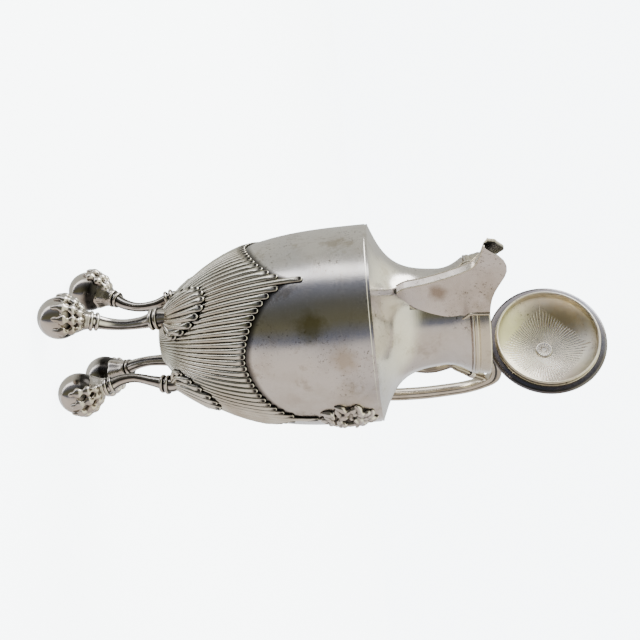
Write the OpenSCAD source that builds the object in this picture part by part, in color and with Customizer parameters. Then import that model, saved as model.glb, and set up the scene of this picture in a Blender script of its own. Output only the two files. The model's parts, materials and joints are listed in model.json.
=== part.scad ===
// Cream jug on four claw-and-ball feet, with a beak spout and a hinged domed lid.
// Millimetres. Z is up along the body, +X is toward the spout, the lid hinge runs along Y.
// The floor is z = 0. The lid is drawn open, resting back on its stop.

/* [Body] */
// outer radius of the bowl at the shoulder edge
shoulder_r = 35; // [28:0.5:42]
// height of the shoulder edge above the floor
shoulder_z = 113.5; // [94:0.5:136]
// height of the small flat underside of the bowl
bowl_z = 37; // [34:0.5:44]
// thickness of the silver sheet
wall = 1; // [0.8:0.05:1.3]
// how far the reeded cup stands proud of the bowl
calyx_t = 0.9; // [0.7:0.05:1.2]
// height of the lowest points of the reeded cup's border
border_z = 71.6; // [60:0.5:80]
// height of the four spikes of that border above its low points
spike_h = 21.1; // [14:0.5:25]

/* [Neck and mouth] */
// outer radius of the waist of the neck
neck_r = 15.9; // [13.3:0.1:19]
// outer radius of the mouth band below its lip
mouth_r = 20.9; // [18.5:0.1:25]
// height of the top of the mouth band
rim_z = 152.5; // [140:0.5:183]

/* [Spout] */
// distance of the beak's tip from the body axis
spout_x = 46.5; // [39:0.5:56]
// width of the narrow front of the beak
keel_w = 2.8; // [2.3:0.1:3.4]
// height of the arch of the beak's side edges
arch_h = 4.7; // [3:0.1:6]

/* [Feet] */
// radius of each ball foot
ball_r = 7.3; // [6:0.1:8.8]
// distance of each ball from the body axis
foot_x = 23.9; // [20:0.2:28.7]
// how far the left foot is bent in towards the axis
left_in = 6; // [0:0.2:7]
// width of a leg at its narrowest
shank_w = 4.1; // [3.4:0.1:5]

/* [Handle] */
// distance of the outside of the handle from the body axis
handle_x = 69.7; // [60:0.5:83]
// width of the handle strap
strap_w = 4.4; // [3.6:0.1:5.3]
// thickness of the handle strap
strap_t = 5; // [4.1:0.1:6]

/* [Lid] */
// outer radius of the lid's flange
lid_r = 21.9; // [21.8:0.1:24]
// height of the dome above the flange
dome_h = 8.6; // [7.2:0.2:12]
// angle between the closed lid and the lid at rest on its stop
open_angle = 92; // [86:1:98]
// outer radius of the hinge knuckles
knuckle_r = 1.6; // [1.4:0.05:1.9]

/* [Hidden] */
$fn = 64;
axis_x = 11.55;                 // keeps the origin under the middle of the whole outline
bowl_pole = bowl_z - 2;         // where the bowl's curve would reach the axis
skin_shift = 0.75 * wall;       // moves the neck's inner curve to keep the sheet even
neck_top = rim_z - 6.2;
flare_z = rim_z - 15.5;
band_z = rim_z - 5.4;
ball_z = ball_r - 0.1;          // a small worn flat under each ball
spout_zb = shoulder_z + 7.5;
spout_zt = rim_z + 1.5;
seat_z = rim_z + 0.3;           // underside of the lid flange when closed
pin_r = 0.75;
pin_gap = 0.04;
fit = 0.02;                     // gap left for the solder between neighbouring pieces
ear_gap = 0.15;                 // play between the lid's knuckle and each ear
sweep_gap = 0.35;               // room for the lid's flange as it turns past the ears
lobe_t = 1.1;                   // thickness of the shells over the legs
leaf_t = 1;                     // thickness of the leaf plate under the handle
bezel_r = mouth_r - 1.8;        // the lid's inner ring drops inside the mouth band
hinge_x = -(lid_r + knuckle_r + 0.7);
hinge_z = seat_z - 0.3;         // the hinge line lies in the joint between rim and lid
knuckle_y = 2.7;                // half length of the lid's knuckle
hinge_y = 8;                    // half length of the whole hinge
strap_c = handle_x - strap_t / 2;

silver = [0.78, 0.74, 0.70];
dark = [0.42, 0.40, 0.38];
gilt = [0.80, 0.75, 0.60];

// ---- profile rules -------------------------------------------------------

// outer radius of the bowl at height z
function bowl_r(z) = shoulder_r * pow(1 - pow(1 - (z - bowl_pole) / (shoulder_z - bowl_pole), 3.1), 0.73);
// the two flares of the neck, and the outer radius of the neck at height z
function flare_low(z) = neck_r + (shoulder_r - neck_r) * exp(-(z - shoulder_z) / 5.9);
function flare_up(z) = z < flare_z ? 0 : (mouth_r - neck_r - 1.4) * pow((z - flare_z) / 9.3, 2);
function neck_or(z) = flare_low(z) + flare_up(z);
// border height of the reeded cup, s degrees of azimuth away from a spike
function border(s) = border_z + spike_h * pow(1 - sqrt(s / 45), 1.45);

// smooth curve through hand-set points
function bend(p, i, t) = let (a = p[max(i - 1, 0)], b = p[i], c = p[min(i + 1, len(p) - 1)],
    d = p[min(i + 2, len(p) - 1)])
  0.5 * (2 * b + (c - a) * t + (2 * a - 5 * b + 4 * c - d) * t * t + (3 * b - a - 3 * c + d) * t * t * t);
function curve(p, n) = [for (i = [0 : len(p) - 2]) for (k = [0 : n - 1]) bend(p, i, k / n), p[len(p) - 1]];
function heading(p, i) = let (a = p[max(i - 1, 0)], b = p[min(i + 1, len(p) - 1)])
  atan2(b[1] - a[1], b[0] - a[0]);
function soft(v, k) = sign(v) * pow(abs(v), k);

// one flattened round section: q = [x, z, width, thickness], a = direction of travel
function section(q, a, n, k) = [for (i = [0 : n - 1]) let (c = 360 * (i + 0.5) / n,
    u = q[2] / 2 * soft(cos(c), k), v = q[3] / 2 * soft(sin(c), k))
  [q[0] - v * sin(a), u, q[1] + v * cos(a)]];

// solid skin through a list of equal rings
module loft(rings) {
  m = len(rings);
  n = len(rings[0]);
  pts = [for (r = rings) for (p = r) p];
  sides = [for (j = [0 : m - 2]) for (k = [0 : n - 1]) let (a = j * n + k, b = j * n + (k + 1) % n)
    each [[a, a + n, b + n], [a, b + n, b]]];
  half = floor(n / 2) - 1;
  o = (m - 1) * n;
  low = [for (k = [0 : half - 1]) each [[k, k + 1, n - 2 - k], [k, n - 2 - k, n - 1 - k]]];
  top = [for (k = [0 : half - 1]) each
    [[o + n - 2 - k, o + k + 1, o + k], [o + n - 1 - k, o + n - 2 - k, o + k]]];
  polyhedron(points = pts, faces = concat(sides, low, top), convexity = 6);
}

// a bar swept along points [x, z, width, thickness]
module bar(p, step = 3, n = 10, k = 0.8) {
  q = curve(p, step);
  loft([for (i = [0 : len(q) - 1]) section(q[i], heading(q, i), n, k)]);
}

module place() { translate([axis_x, 0, 0]) children(); }

// closed lid turned back about its hinge to the rest position
module lid_pose() {
  place() translate([hinge_x, 0, hinge_z]) rotate([0, -open_angle, 0])
    translate([-hinge_x, 0, -hinge_z]) children();
}

// ---- body ----------------------------------------------------------------

bowl_steps = [for (i = [0 : 12]) bowl_z + (shoulder_z - bowl_z) * pow(i / 12, 1.7)];

module bowl_solid(grow = 0) {
  rotate_extrude() polygon(concat([[0, bowl_z - grow]],
    [for (z = bowl_steps) [bowl_r(z) + grow, z - grow * (z < shoulder_z - 20 ? 0.6 : 0)]],
    [[0, shoulder_z]]));
}

module bowl() {
  color(silver) place() rotate_extrude() polygon(concat(
    [[0, bowl_z]], [for (z = bowl_steps) [bowl_r(z), z]],
    [for (i = [12 : -1 : 1]) [bowl_r(bowl_steps[i]) - wall,
      bowl_steps[i] + (i < 12 ? wall * (12 - i) / 12 : 0)]],
    [[0, bowl_z + wall]]));
}

// one pointed arch of the reeded cup, seen square on
module arch() {
  pts = [for (i = [0 : 9]) let (s = 45.3 * pow(i / 9, 1.6)) [shoulder_r * sin(s), border(min(s, 45))]];
  rotate([90, 0, 90]) linear_extrude(shoulder_r + 4) polygon(concat(
    pts, [[shoulder_r * sin(45.3), bowl_z - 3], [-shoulder_r * sin(45.3), bowl_z - 3]],
    [for (i = [9 : -1 : 1]) [-pts[i][0], pts[i][1]]]));
}

module calyx() {
  color(dark) place() intersection() {
    difference() {
      bowl_solid(calyx_t);
      bowl_solid();
    }
    union() for (a = [0 : 90 : 270]) rotate([0, 0, a]) arch();
  }
}

neck_steps = concat([for (i = [0 : 9]) shoulder_z + (flare_z - shoulder_z) * pow(i / 9, 1.8)],
  [for (i = [1 : 5]) flare_z + (neck_top - flare_z) * i / 5]);

module neck() {
  win_y = neck_r * 0.34;
  win_z = spout_zb + 11;
  color(silver) place() difference() {
    rotate_extrude() polygon(concat([for (z = neck_steps) [neck_or(z), z]],
      [for (i = [len(neck_steps) - 1 : -1 : 0]) let (z = neck_steps[i])
        [flare_low(z + skin_shift) + flare_up(z - skin_shift) - skin_shift, z]]));
    // pouring window behind the beak
    translate([neck_r / 2, -win_y, win_z]) cube([neck_r, 2 * win_y, neck_top - 6 - win_z]);
    translate([neck_r / 2, 0, win_z]) rotate([0, 90, 0]) cylinder(r = win_y, h = neck_r);
  }
}

module neck_bead() {
  color(silver) place() rotate_extrude() intersection() {
    translate([mouth_r - 0.8, (neck_top + band_z) / 2]) union() {
      circle(r = 0.8);
      translate([-1.5, -2]) square([1.5, 4]);
    }
    translate([mouth_r - 2.3, neck_top]) square([3, band_z - neck_top]);
  }
}

module mouth_band() {
  r = mouth_r;
  color(silver) place() rotate_extrude() polygon([
    [r - 1.7, band_z], [r - 0.2, band_z], [r, band_z + 0.3], [r, band_z + 1.2],
    [r - 0.45, band_z + 1.5], [r, band_z + 1.8], [r + 0.2, band_z + 3], [r + 0.5, rim_z - 1],
    [r + 0.4, rim_z - 0.35], [r, rim_z], [r - 0.5, rim_z], [r - 0.75, rim_z - 0.4],
    [r - 0.8, band_z + 1]]);
}

// ---- spout ---------------------------------------------------------------

// how far the front of the beak has come out, for rising height
keel_curve = [[0, 0], [0.09, 0.09], [0.30, 0.155], [0.515, 0.26], [0.727, 0.41], [0.894, 0.64], [1, 1]];
keel = curve(keel_curve, 2);

// the surface that the beak is soldered to, and the solder line, w = wall set inwards
function neck_edge(z) = let (lip = mouth_r + 0.56, t = (z - neck_top + 2.4) / 2.4)
  t <= 0 ? neck_or(z) + 0.04 : t >= 1 ? lip : neck_or(z) + (lip - neck_or(z)) * t;
function beak_seam(z, w) = let (y = 11 * (1 - exp(-(z - spout_zb + 0.6) / 11)) - 0.8 * w,
    r = neck_edge(z))
  [sqrt(r * r - y * y), max(y, keel_w * 0.12), z];

// point of the beak's side: f from bottom to lip, g how far out its front is, s from front to neck
function beak(f, g, s, w) = let (
    xb = neck_edge(spout_zb) + 1.1,
    q = beak_seam(spout_zb + (rim_z - 0.1 - spout_zb) * f, w),
    xk = max(xb + (spout_x - xb) * g - w, q[0] + 0.02),
    zk = spout_zb + (spout_zt - spout_zb) * f,
    yk = keel_w * (w > 0 ? 0.15 : 0.5),
    x = xk + (q[0] - xk) * s,
    y = yk + (q[1] - yk) * pow(s, 1.2),
    up = max(0, (f - 0.8) / 0.2),
    lift = arch_h * up * (exp(-pow((s - 0.39) / 0.27, 2)) - 0.12 * (1 - s)))
  [x, y, zk + (q[2] - zk) * s + lift];
function flip(p) = [p[0], -p[1], p[2]];

module spout() {
  cols = [for (i = [0 : 10]) i / 10];
  rows = [for (j = [0 : len(keel) - 1]) [0.05 + 0.95 * keel[j][0], keel[j][1]]];
  color(silver) place() loft([for (r = rows) concat(
    [for (i = [10 : -1 : 0]) flip(beak(r[0], r[1], cols[i], 0))],
    [for (i = [0 : 10]) beak(r[0], r[1], cols[i], 0)],
    [for (i = [10 : -1 : 0]) beak(r[0], r[1], cols[i], wall)],
    [for (i = [0 : 10]) flip(beak(r[0], r[1], cols[i], wall))])]);
}

// ---- legs and feet -------------------------------------------------------

knee_z = bowl_z + 2.3;
ankle_z = ball_z + 10.6;
ankle_x = foot_x - 4.3;
knee_x = bowl_r(knee_z + 2.4) + 4.4;
mid_z = (knee_z + ankle_z) / 2;
bend_z = knee_z - 6;

// how far a leg bent in by d at the ball is moved in at height z
function inward(z, d) = d * max(0, (bend_z - z) / (bend_z - ball_z));
function claw_run(d) = foot_x - ankle_x - d + inward(ankle_z, d);
claw_h = sqrt(pow(foot_x - ankle_x, 2) + pow(ankle_z - ball_z, 2)) - 1.6;

module leg(a, d = 0) {
  w = shank_w;
  i0 = inward(ankle_z, d);
  p = [[ankle_x + 1 - i0 * 1.15, ankle_z - 2.2, w + 1.6, w + 1], [ankle_x - i0, ankle_z, w + 1.2, w + 0.6],
    [ankle_x - 2.9 - inward(ankle_z + 4.2, d), ankle_z + 4.2, w + 0.4, w - 0.4],
    [knee_x - 1.8 - inward(mid_z - 1.2, d), mid_z - 1.2, w, w - 1],
    [knee_x - 1.5, knee_z - 6, w + 0.5, w - 0.6], [knee_x - 0.3, knee_z - 2.2, w + 1.6, w],
    [knee_x + 0.9, knee_z + 1.4, w + 2.6, w + 0.4], [knee_x + 1.6, knee_z + 4.6, w + 1.6, w - 0.6]];
  dir = 90 + atan2(claw_run(d), ankle_z - ball_z);
  color(dark) place() rotate([0, 0, a]) difference() {
    union() {
      bar(p, 2, 12, 1);
      collar(ankle_x - i0 + 0.2, ankle_z - 0.7, dir, w + 3.2, w + 2.4);
      collar(ankle_x - i0 - 0.6, ankle_z + 1.0, dir + 4, w + 2.6, w + 1.8);
      collar(knee_x - 0.45, knee_z - 0.9, 80, w + 3.8, w + 1.4);
      collar(knee_x - 0.1, knee_z + 0.95, 80, w + 4.2, w + 1.8);
    }
    bowl_solid(calyx_t + lobe_t + 0.03);
    claw_frame(d) cylinder(r = 7, h = claw_h + fit);
  }
}

// centre of a ball, with Z turned to the line from the ball to the ankle
module claw_frame(d) {
  translate([foot_x - d, 0, ball_z]) rotate([0, -atan2(claw_run(d), ankle_z - ball_z), 0]) children();
}

// one rounded ring round a leg
module collar(x, z, dir, w, t) {
  loft([for (d = [[-0.75, 0.8], [-0.45, 0.97], [0.45, 0.97], [0.75, 0.8]])
    section([x + d[0] * cos(dir), z + d[0] * sin(dir), w * d[1], t * d[1]], dir, 16, 1)]);
}

module ball(a, d = 0) {
  color(dark) place() rotate([0, 0, a]) intersection() {
    translate([foot_x - d, 0, ball_z]) sphere(r = ball_r);
    translate([foot_x - d - ball_r - 1, -ball_r - 1, 0]) cube(2 * ball_r + 2);
  }
}

// five talons that hold the outward side of the ball, about the line from the ball to the ankle
talon_r = 1.3;
talon_turn = 32;

module claw(a, d = 0) {
  tip_r = ball_r + 0.1;
  root_h = ball_r * 0.62;
  color(dark) place() rotate([0, 0, a]) claw_frame(d) difference() {
    union() {
      translate([0, 0, root_h]) cylinder(r1 = ball_r * 0.86, r2 = shank_w / 2 + 1.1, h = claw_h - root_h);
      for (k = [-2 : 2]) rotate([0, 0, talon_turn * k]) rotate([90, 0, 0])
        rotate_extrude(angle = 74) translate([tip_r, 0]) circle(r = talon_r, $fn = 24);
      for (k = [-2 : 2]) rotate([0, 0, talon_turn * k]) translate([tip_r, 0, 0])
        sphere(r = talon_r, $fn = 24);
    }
    sphere(r = ball_r + 0.01);
  }
}

// fan of rounded lobes lying on the reeded cup above each leg
module shell(a) {
  c = bowl_z + 12;
  color(silver) place() rotate([0, 0, a]) intersection() {
    difference() {
      bowl_solid(calyx_t + lobe_t);
      bowl_solid(calyx_t + fit);
    }
    rotate([90, 0, 90]) linear_extrude(shoulder_r + 4) union() {
      polygon(concat([[-3.8, c - 8.5], [3.8, c - 8.5]],
        [for (t = [-105 : 21 : 105]) [-7.6 * sin(t), c + 9 * cos(t)]]));
      for (t = [-105 : 21 : 105]) translate([7.4 * sin(t), c + 8.8 * cos(t)]) circle(r = 1.45);
    }
  }
}

// ---- side masks ----------------------------------------------------------

mask_z = shoulder_z - 10.8;

module mask(a) {
  color(dark) place() rotate([0, 0, a]) difference() {
    translate([shoulder_r, 0, mask_z]) intersection() {
      union() {
        // flat backing, face, muzzle
        rotate([0, 90, 0]) translate([0, 0, -2]) linear_extrude(3.6) union() {
          circle(r = 7.2);
          for (t = [0 : 36 : 324]) translate([8.6 * cos(t), 6.3 * sin(t)]) circle(r = 2);
        }
        translate([-4.2, 0, 0.4]) sphere(r = 7.9, $fn = 48);
        translate([1.2, 0, -3.2]) sphere(r = 3, $fn = 48);
      }
      translate([-2, -8.3, -10.7]) cube([6.2, 16.6, 21.4]);
    }
    bowl_solid(fit);
    // eye and mouth hollows
    for (s = [-1, 1]) translate([shoulder_r + 3.6, s * 2.9, mask_z + 2.4]) sphere(r = 1.2);
  }
}

// ---- handle --------------------------------------------------------------

root_z = rim_z - 3.9;
foot_z = shoulder_z - 26.5;

// bowl, neck and mouth as one solid, grown by a gap, to cut other pieces to fit
module body_cut(extra = 0) {
  rotate_extrude() polygon(concat([[0, bowl_z]], [for (z = bowl_steps) [bowl_r(z) + extra, z]],
    [for (z = neck_steps) [neck_or(z) + extra, z]],
    [[mouth_r + extra, neck_top], [mouth_r + extra, band_z + 2], [mouth_r + 0.55 + extra, rim_z - 1],
     [mouth_r + 0.55 + extra, rim_z + 0.6], [0, rim_z + 0.6]]));
}

module handle_strap() {
  w = strap_w;
  t = strap_t;
  h = strap_c;
  p = [[-(mouth_r - 1), root_z - 1, w + 1.6, t - 1], [-(mouth_r + 4), root_z + 0.4, w + 1, t - 1],
    [-0.5 * h - 1, rim_z + 3.5, w, t - 1], [-0.67 * h, rim_z + 6.2, w, t - 0.8],
    [-0.83 * h, rim_z + 5.8, w, t - 0.6], [-0.905 * h, rim_z + 1.6, w, t - 0.5],
    [-0.96 * h, rim_z - 5, w, t - 0.3], [-0.985 * h, rim_z - 13, w, t],
    [-h, rim_z - 24, w, t + 0.3], [-0.985 * h, rim_z - 36, w, t + 0.2],
    [-0.93 * h, shoulder_z - 6, w, t], [-0.83 * h, shoulder_z - 14.5, w, t - 0.4],
    [-(shoulder_r + 12), shoulder_z - 21.5, w, t - 0.8],
    [-(shoulder_r + 4), shoulder_z - 25.5, w + 0.8, t - 1],
    [-(shoulder_r - 1.5), foot_z - 1, w + 1.4, t - 1]];
  color(silver) place() difference() {
    bar(p, 2, 12, 0.6);
    body_cut(fit);
    bowl_solid(calyx_t + 0.03);
    // the flats that keep the strap's root under the hinge knuckles
    translate([hinge_x, hinge_y + 1, hinge_z]) rotate([90, 0, 0])
      cylinder(r = knuckle_r + 0.45, h = 2 * hinge_y + 2);
  }
}

scroll_path = [[-0.835 * strap_c, rim_z + 1.4, 3, 2.6], [-0.77 * strap_c, rim_z - 3, 3.2, 2.8],
  [-0.705 * strap_c, rim_z - 6.4, 3, 2.6], [-0.655 * strap_c, rim_z - 9.4, 2.8, 2.3],
  [-0.612 * strap_c, rim_z - 11.4, 2.7, 2.2], [-0.632 * strap_c, rim_z - 14.4, 2.8, 2.4],
  [-0.65 * strap_c, rim_z - 18, 3, 2.6], [-0.645 * strap_c, rim_z - 22, 3, 2.6],
  [-0.61 * strap_c, rim_z - 26.5, 3, 2.5], [-0.55 * strap_c, rim_z - 31, 3, 2.4],
  [-0.475 * strap_c, shoulder_z + 4.4, 3, 2.3],
  [-(neck_or(shoulder_z + 2.6) - 1.2), shoulder_z + 2.2, 3, 2.3]];

// room for the strap where the scroll leaves it
module strap_top_room() {
  h = strap_c;
  t = strap_t + 0.5;
  w = strap_w + 0.4;
  bar([[-0.67 * h, rim_z + 6.2, w, t - 1.2], [-0.83 * h, rim_z + 5.8, w, t - 1],
    [-0.905 * h, rim_z + 1.6, w, t - 0.9], [-0.96 * h, rim_z - 5, w, t - 0.7]], 2, 12, 0.6);
}

module handle_scroll() {
  color(dark) place() difference() {
    bar(scroll_path, 2, 10, 0.85);
    body_cut(fit);
    strap_top_room();
  }
}

module scroll_bead() {
  color(silver) place() translate([-0.612 * strap_c + 2.25, 0, rim_z - 11.9]) sphere(r = 1.25);
}

module scroll_ring(grow = 0) {
  bar([[-0.752 * strap_c + 0.9, rim_z - 3.6 - 0.6, 4 + grow, 3.8 + grow],
    [-0.752 * strap_c - 0.9, rim_z - 3.6 + 0.6, 4 + grow, 3.8 + grow]], 1, 12, 0.9);
}

module scroll_collar() {
  color(silver) place() difference() {
    scroll_ring();
    bar(scroll_path, 2, 10, 0.85);
  }
}

// leaf plate that carries the lower end of the handle
module handle_leaf() {
  color(dark) place() intersection() {
    difference() {
      bowl_solid(calyx_t + leaf_t);
      bowl_solid(calyx_t + fit);
      strap_foot_room();
    }
    rotate([90, 0, -90]) linear_extrude(shoulder_r + 4) union() {
      polygon([[0, foot_z - 13], [2.6, foot_z - 9], [4.4, foot_z - 3], [4.6, foot_z + 2],
        [3, foot_z + 5], [0, foot_z + 7.5], [-3, foot_z + 5], [-4.6, foot_z + 2],
        [-4.4, foot_z - 3], [-2.6, foot_z - 9]]);
    }
  }
}

// room for the strap's lower end in the leaf plate
module strap_foot_room() {
  bar([[-(shoulder_r + 12), shoulder_z - 21.5, strap_w + 0.3, strap_t - 0.5],
    [-(shoulder_r + 4), shoulder_z - 25.5, strap_w + 1.1, strap_t - 0.7],
    [-(shoulder_r - 1.5), foot_z - 1, strap_w + 1.7, strap_t - 0.7]], 3, 12, 0.6);
}

// ---- hinge ---------------------------------------------------------------

// one ear of the hinge, soldered to the mouth band; s is its side
module hinge_ear(s) {
  len_y = hinge_y - knuckle_y - ear_gap;
  color(silver) place() difference() {
    union() {
      translate([hinge_x, s * (knuckle_y + ear_gap + len_y / 2), hinge_z]) rotate([90, 0, 0])
        cylinder(r = knuckle_r, h = len_y, center = true);
      translate([hinge_x - 0.6, s * (knuckle_y + ear_gap + len_y / 2) - len_y / 2, rim_z - 3.2])
        cube([-hinge_x - mouth_r + 3, len_y, hinge_z - rim_z + 2.9]);
    }
    translate([hinge_x, 0, hinge_z]) rotate([90, 0, 0])
      cylinder(r = pin_r, h = 2 * hinge_y + 2, center = true);
    translate([0, 0, rim_z - 1]) cylinder(r = lid_r + sweep_gap, h = 8);
    body_cut(fit);
    strap_root_room();
  }
}

// room for the strap's upper end between the ears
module strap_root_room() {
  w = strap_w + 0.3;
  bar([[-(mouth_r - 1), root_z - 1, w + 1.6, strap_t - 0.7],
    [-(mouth_r + 4), root_z + 0.4, w + 1, strap_t - 0.7],
    [-0.5 * strap_c - 1, rim_z + 3.5, w, strap_t - 0.7]], 2, 12, 0.6);
}

module hinge_pin() {
  color(silver) place() translate([hinge_x, 0, hinge_z]) rotate([90, 0, 0])
    cylinder(r = pin_r, h = 2 * hinge_y + 1, center = true);
}

// ---- lid, drawn closed and then turned back ------------------------------

module lid_knuckle() {
  color(silver) lid_pose() difference() {
    union() {
      translate([hinge_x, 0, hinge_z]) rotate([90, 0, 0])
        cylinder(r = knuckle_r, h = 2 * knuckle_y, center = true);
      translate([hinge_x, -knuckle_y, hinge_z + 0.5]) cube([knuckle_r + 1.1, 2 * knuckle_y, 1.1]);
    }
    translate([hinge_x, 0, hinge_z]) rotate([90, 0, 0])
      cylinder(r = pin_r + pin_gap, h = 4 * knuckle_y, center = true);
    lid_ring_solid();
  }
}

module lid_ring_solid() {
  rotate_extrude() polygon([[0, seat_z], [lid_r - 0.5, seat_z], [lid_r, seat_z + 0.6],
    [lid_r, seat_z + 1.5], [lid_r - 0.6, seat_z + 2.2], [0, seat_z + 2.2]]);
}

module lid_flange() {
  color(silver) lid_pose() rotate_extrude() polygon([[lid_r - 2.6, seat_z], [lid_r - 0.5, seat_z],
    [lid_r, seat_z + 0.6], [lid_r, seat_z + 1.5], [lid_r - 0.6, seat_z + 2.2],
    [lid_r - 2.6, seat_z + 2.2]]);
}

module lid_bezel() {
  color(gilt) lid_pose() rotate_extrude() polygon([[bezel_r - 0.8, seat_z - 2.2],
    [bezel_r - 0.3, seat_z - 2.2], [bezel_r, seat_z - 1.9], [bezel_r, seat_z],
    [lid_r - 2.6, seat_z], [lid_r - 2.6, seat_z + 1.2], [bezel_r - 0.8, seat_z + 1.2]]);
}

function dome(r, s) = seat_z + 2.2 + (dome_h - s) * pow(1 - pow(r / (lid_r - 1.2 - s), 2.2), 0.62);

module lid_dome() {
  out = [for (i = [0 : 10]) let (r = (lid_r - 1.2) * sin(9 * i)) [r, dome(r, 0)]];
  inn = [for (i = [10 : -1 : 0]) let (r = (lid_r - 1.2 - wall) * sin(9 * i)) [r, dome(r, wall)]];
  color(silver) lid_pose() difference() {
    rotate_extrude() polygon(concat(out, inn));
    translate([0, 0, seat_z]) cylinder(r = 1, h = dome_h + 6);
  }
}

module lid_rosette() {
  color(gilt) lid_pose() rotate_extrude() polygon([[0, dome(0, wall) - 1.1], [1.6, dome(0, wall) - 1.1],
    [3.2, dome(3.2, wall) - 0.7], [3.2, dome(3.2, wall) - fit], [1, dome(1, wall) - fit],
    [0, dome(0, wall) - fit]]);
}

module lid_finial() {
  z0 = dome(0, 0);
  color(silver) lid_pose() rotate_extrude() polygon([[0, dome(0, wall)], [1, dome(1, wall)],
    [1, dome(1, 0)], [3.4, dome(3.4, 0) + 0.02], [3.1, z0 + 0.8], [1.5, z0 + 1.7], [1.3, z0 + 2.8],
    [2.4, z0 + 4], [2.9, z0 + 5.6], [2.3, z0 + 7.2], [1, z0 + 8.2], [0, z0 + 8.5]]);
}

// ---- sub-parts with a place ----------------------------------------------

module leg_front() leg(0);
module leg_left() leg(90, left_in);
module leg_back() leg(180);
module leg_right() leg(270);
module ball_front() ball(0);
module ball_left() ball(90, left_in);
module ball_back() ball(180);
module ball_right() ball(270);
module claw_front() claw(0);
module claw_left() claw(90, left_in);
module claw_back() claw(180);
module claw_right() claw(270);
module shell_front() shell(0);
module shell_left() shell(90);
module shell_back() shell(180);
module shell_right() shell(270);
module hinge_ear_left() hinge_ear(1);
module hinge_ear_right() hinge_ear(-1);
module mask_left() mask(90);
module mask_right() mask(270);

bowl();
calyx();
neck();
neck_bead();
mouth_band();
spout();
leg_front();
leg_left();
leg_back();
leg_right();
ball_front();
ball_left();
ball_back();
ball_right();
claw_front();
claw_left();
claw_back();
claw_right();
shell_front();
shell_left();
shell_back();
shell_right();
mask_left();
mask_right();
handle_strap();
handle_scroll();
scroll_bead();
scroll_collar();
handle_leaf();
hinge_ear_left();
hinge_ear_right();
hinge_pin();
lid_knuckle();
lid_flange();
lid_bezel();
lid_dome();
lid_rosette();
lid_finial();
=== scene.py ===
import json
from math import asin, atan2, cos, exp, pi, radians, sin, sqrt

import bmesh
import bpy
from mathutils import Matrix, Vector


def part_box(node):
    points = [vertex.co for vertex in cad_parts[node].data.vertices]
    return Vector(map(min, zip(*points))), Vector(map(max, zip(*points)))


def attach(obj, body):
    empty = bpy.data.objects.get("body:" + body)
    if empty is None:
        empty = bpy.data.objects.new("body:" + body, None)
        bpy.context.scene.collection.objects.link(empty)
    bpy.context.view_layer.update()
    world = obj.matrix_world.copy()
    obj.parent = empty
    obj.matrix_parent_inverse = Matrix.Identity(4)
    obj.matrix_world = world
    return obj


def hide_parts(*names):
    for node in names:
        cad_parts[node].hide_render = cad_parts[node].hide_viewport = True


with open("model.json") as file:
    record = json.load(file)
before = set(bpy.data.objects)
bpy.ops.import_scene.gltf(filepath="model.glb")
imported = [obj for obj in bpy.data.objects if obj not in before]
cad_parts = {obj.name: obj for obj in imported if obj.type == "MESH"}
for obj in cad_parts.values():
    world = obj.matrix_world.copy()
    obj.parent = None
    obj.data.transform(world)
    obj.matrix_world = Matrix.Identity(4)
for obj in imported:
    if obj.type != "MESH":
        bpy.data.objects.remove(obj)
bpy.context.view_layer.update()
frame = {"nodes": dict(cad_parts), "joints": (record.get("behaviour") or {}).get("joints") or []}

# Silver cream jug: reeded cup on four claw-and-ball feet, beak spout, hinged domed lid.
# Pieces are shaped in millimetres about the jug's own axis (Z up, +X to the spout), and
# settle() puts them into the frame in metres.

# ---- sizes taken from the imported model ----

MM = 0.001
FULL_TURN = 2 * pi
ROUND_STEPS = 144       # steps in a full turn of a spun piece
BODY_STEPS = 176        # the same for the largest pieces
CAST_GRAIN = 0.24       # finest detail of the cast feet and masks
SHEET_T = 1.0           # thickness of the lid's and the bowl's sheet
BEAK_T = 0.75
NECK_T = 0.8


def node_box(name):
    low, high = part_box(name)
    return Vector(low) / MM, Vector(high) / MM


bowl_low, bowl_high = node_box("bowl")
AXIS_X = (bowl_low.x + bowl_high.x) / 2
SHOULDER_R = (bowl_high.x - bowl_low.x) / 2
SHOULDER_Z = bowl_high.z
BOWL_Z = bowl_low.z
BOWL_POLE = BOWL_Z - 2
RIM_Z = node_box("mouth_band")[1].z
MOUTH_R = (node_box("neck_bead")[1].y - node_box("neck_bead")[0].y) / 2
NECK_R = 15.9
NECK_TOP = RIM_Z - 6.2
FLARE_Z = RIM_Z - 15.5
BAND_Z = RIM_Z - 5.4
CUP_T = 0.9
BORDER_Z = 71.6
SPIKE_H = 21.1
BALL_R = node_box("ball_front")[1].y
BALL_Z = BALL_R - 0.1
FOOT_X = (node_box("ball_front")[0].x + node_box("ball_front")[1].x) / 2 - AXIS_X
LEFT_FOOT_X = (node_box("ball_left")[0].y + node_box("ball_left")[1].y) / 2
SHANK_W = 4.1
SPOUT_X = node_box("spout")[1].x - AXIS_X
SPOUT_ZB = SHOULDER_Z + 7.5
SPOUT_ZT = RIM_Z + 1.5
KEEL_W = 2.8
ARCH_H = 4.7
LIP_WEAR = 3.6
LID_R = (node_box("lid_flange")[1].y - node_box("lid_flange")[0].y) / 2
SEAT_Z = RIM_Z + 0.3
DOME_R = LID_R - 1.2
DOME_H = 8.6
BEZEL_R = MOUTH_R - 1.8
HINGE = Vector(frame["joints"][0]["pos_m"]) / MM - Vector((AXIS_X, 0, 0))
OPEN_ANGLE = radians(frame["joints"][0]["range_deg"][1])
STRAP_C = -(node_box("handle_strap")[0].x - AXIS_X) - 2.65
REEDS = 96


# ---- profile rules ----

def bowl_r(z):
    return SHOULDER_R * (1 - (1 - (z - BOWL_POLE) / (SHOULDER_Z - BOWL_POLE)) ** 3.1) ** 0.73


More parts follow.
